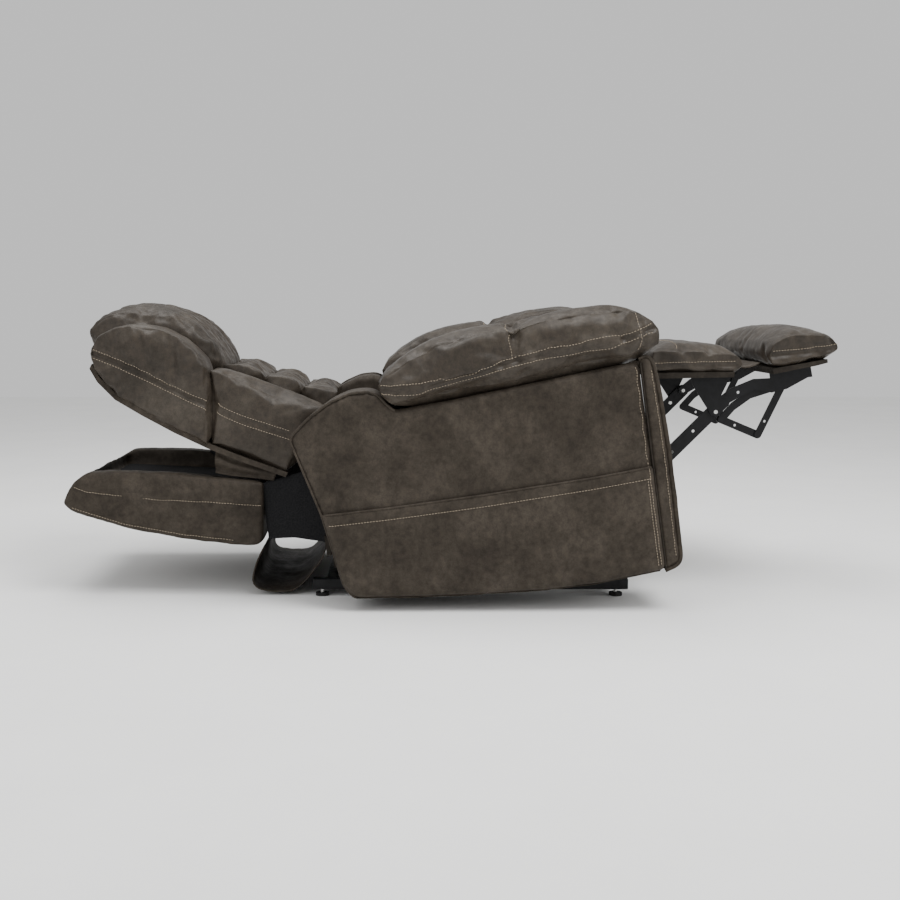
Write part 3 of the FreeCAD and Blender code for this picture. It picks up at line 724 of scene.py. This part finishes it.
HEAD_SEAM = [(912, 630), (839, 602), (773, 571), (661, 515), (533, 458), (409, 418)]
seam_pts = [(-0.300, *lie(*p)) for p in HEAD_SEAM]
low_wing = soft("lower_wing_right", "lower_wings", "head_block", 0, inset=0.010, cap=0.024,
                pins=(seam_pts,), fill=0.8)
put(low_wing, coords(low_wing) + np.array([0, 0.003, -0.009]))
press(low_wing, [seam_pts], 0.006, 0.006, 0.0015)
press(low_wing, [[(-0.290, *lie(*p)) for p in pts] for pts in (((470, 440), (420, 480), (350, 500)),
      ((540, 470), (500, 530), (470, 556)), ((400, 440), (360, 460), (325, 480)),
      ((600, 500), (575, 560), (560, 590)))],
      0.005, 0.010, 0.0015)
waves(low_wing, 0.0026, 10, 14, (1.5, 1, 1))
squeeze(low_wing, 0.288)
high_wing = soft("upper_wing_right", "upper_wings", "head_block", 0, inset=0.010, cap=0.024,
                 pins=(seam_pts,), fill=0.8)
put(high_wing, coords(high_wing) + np.array([0, -0.001, -0.009]))
press(high_wing, [seam_pts], 0.006, 0.006, 0.0015)
press(high_wing, [[(-0.310, *lie(*p)) for p in pts] for pts in (((690, 540), (700, 610), (710, 680)),
      ((760, 580), (775, 640), (790, 695)), ((830, 615), (845, 660), (850, 695)),
      ((880, 640), (890, 660), (888, 680)))],
      0.0045, 0.009, 0.0015)
waves(high_wing, 0.0022, 10, 15, (1.5, 1, 1))
rows = []
for o, nm in ((low_wing, "lower"), (high_wing, "upper")):
    lo, hi = coords(o)[:, 1].min() + 0.012, coords(o)[:, 1].max() - 0.012
    path = [p for p in resample(seam_pts, 0.01) if lo < p[1] < hi]
    rows.append(stitch("wing_stitch_a_%s_right" % nm, raised(path, 0.011), [o], "head_block"))
    rows.append(stitch("wing_stitch_b_%s_right" % nm, raised(path, -0.011), [o], "head_block"))
mirrored(low_wing, "lower_wing_left", "head_block", None)
mirrored(high_wing, "upper_wing_left", "head_block", None)
for o in rows:
    mirrored(o, o.name.replace("right", "left"), "head_block")

roll = soft("head_roll_cover", "head_roll", "head_block", inset=0.010, cap=0.024, voxel=0.007, fill=0.85)
TUFT_PLACES = (-90, 0, 90)
HEAD_LINE = [(610, 660), (660, 705), (711, 730), (773, 742), (847, 740), (909, 722), (950, 684)]
ROW_LINE = [(290, 500), (350, 540), (440, 572), (520, 592), (596, 600)]
lines = [at(x / 1000, HEAD_LINE, lie) for x in TUFT_PLACES]
press(roll, lines, 0.006, 0.008, 0.002)
waves(roll, 0.004, 14, 17, (2.2, 1, 1))
for i in range(3):
    row = soft("lumbar_roll_%d" % i, "lumbar_rolls", "head_block", i, 1, inset=0.006, cap=0.022,
               voxel=0.007, fill=0.8)
    tufts = [at(x / 1000, ROW_LINE, lie) for x in TUFT_PLACES]
    press(row, tufts, 0.010, 0.012, 0.003)
    waves(row, 0.0035, 15, 20 + i)
    if i == 0:
        hold_back(row, (0, -1, 0), 0.014, 0.52)

# ------------------------------------------------------------------ leather that crosses the hinges
flap = strip("rear_flap_sheet", [lie(*p) for p in ((324, 117), (328, 95), (380, 30), (413, 12), (465, 12),
             (505, 19), (510, 53), (496, 94), (475, 130))], -0.28, 0.28, None,
             thick=0.003, wrinkle=0.004, step=0.010,
             replaces=("rear_flap",))
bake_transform(flap)
GUSSET_ALONG, GUSSET_UP, CURTAIN_UP = 30, 13, 21     # points along and up the folding side sheets
for x, nm in ((-0.281, "right"), (0.270, "left")):
    pts = []
    low = resample([lie(*p) for p in ((452, 300), (500, 306), (560, 312), (602, 320))], 0.002)
    high = resample([lie(*p) for p in ((440, 330), (500, 345), (560, 362), (602, 388))], 0.002)
    for i in range(GUSSET_ALONG):
        a = low[int(i * (len(low) - 1) / (GUSSET_ALONG - 1))]
        b = high[int(i * (len(high) - 1) / (GUSSET_ALONG - 1))]
        for k in range(GUSSET_UP):
            t = k / (GUSSET_UP - 1)
            w = 0.005 * math.sin(t * math.pi * 3) * (0.4 + i / GUSSET_ALONG)
            pts.append((x + w * (1 if x < 0 else -1) + 0.006, a[0] + (b[0] - a[0]) * t,
                        a[1] + (b[1] - a[1]) * t))
    gus = make("side_gusset_" + nm, pts, grid_faces(GUSSET_ALONG, GUSSET_UP), HIDE, None)
    thicken(gus, 0.0025, 0)
    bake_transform(gus)
    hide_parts("side_gussets")

# painted shade: a sheet across the crevice between seat and back, made in the dark leather so the crevice
# reads as shaded
shade_bridge = strip("seat_bridge_shade_sheet", [lie(*p) for p in ((64, 425), (80, 380), (120, 345), (180, 330),
               (250, 345), (345, 400))], -0.272, 0.272, None, thick=0.003, wrinkle=0.003,
               step=0.010, material=DARKHIDE)
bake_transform(shade_bridge)
# painted shade: black cloth curtains hung beside the hinges, between back shell and arm, cover the hinge gap
# and stand in for the shade in that gap
for x, nm in ((-0.268, "right"), (0.268, "left")):
    low = resample([lie(*p) for p in ((262, 118), (330, 140), (400, 150), (484, 146))], 0.008)
    high = resample([lie(*p) for p in ((285, 330), (330, 338), (400, 316), (484, 292))], 0.008)
    n, pts = min(len(low), len(high)), []
    for i in range(n):
        for k in range(CURTAIN_UP):
            t = k / (CURTAIN_UP - 1)
            a = low[i] * (1 - t) + high[i] * t
            pts.append((x + 0.004 * noise.noise(Vector((a[0] * 22, a[1] * 9, 3))), *a))
    side = make("hinge_shade_curtain_" + nm, pts, grid_faces(n, CURTAIN_UP), LINING, None)
    thicken(side, 0.002, 0)
    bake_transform(side)

# ------------------------------------------------------------------ floor, light, camera
floor = plain("pale_floor", (0.86, 0.86, 0.85), (0.90, 0.90, 0.89), 0.85, 0, 3, 0.02)
bpy.ops.mesh.primitive_plane_add(size=14, location=(0, 0, 0))
ground = bpy.context.object
ground.name = "floor"
ground.data.materials.append(floor)
for name, loc, size, power in (("key", (-1.6, -1.4, 3.6), 2.2, 130), ("fill", (-3.4, 2.6, 2.2), 2.6, 34),
                               ("top", (0.2, 0.8, 3.6), 2.6, 95), ("front", (-1.2, -4.0, 1.4), 2.0, 26)):
    d = bpy.data.lights.new(name, "AREA")
    d.shape, d.size, d.energy = "DISK", size, power
    o = bpy.data.objects.new(name, d)
    bpy.context.scene.collection.objects.link(o)
    o.location = loc
    o.rotation_euler = (Vector((0, 0, 0.35)) - Vector(loc)).to_track_quat("-Z", "Y").to_euler()
world = bpy.data.worlds.new("studio")
bpy.context.scene.world = world
world.use_nodes = True
world.node_tree.nodes["Background"].inputs["Color"].default_value = (1.0, 1.0, 1.0, 1)
world.node_tree.nodes["Background"].inputs["Strength"].default_value = 0.75
cam_data = bpy.data.cameras.new("photo_camera")
camera = bpy.data.objects.new("photo_camera", cam_data)
bpy.context.scene.collection.objects.link(camera)
camera.location = (-3.325, 0.128, 0.731)
aim = math.radians(6.58)
camera.rotation_euler = Vector((math.cos(aim), 0, -math.sin(aim))).to_track_quat("-Z", "Y").to_euler()
cam_data.sensor_width, cam_data.lens, cam_data.shift_x = 36, 47.84, 0.0556
bpy.context.scene.camera = camera
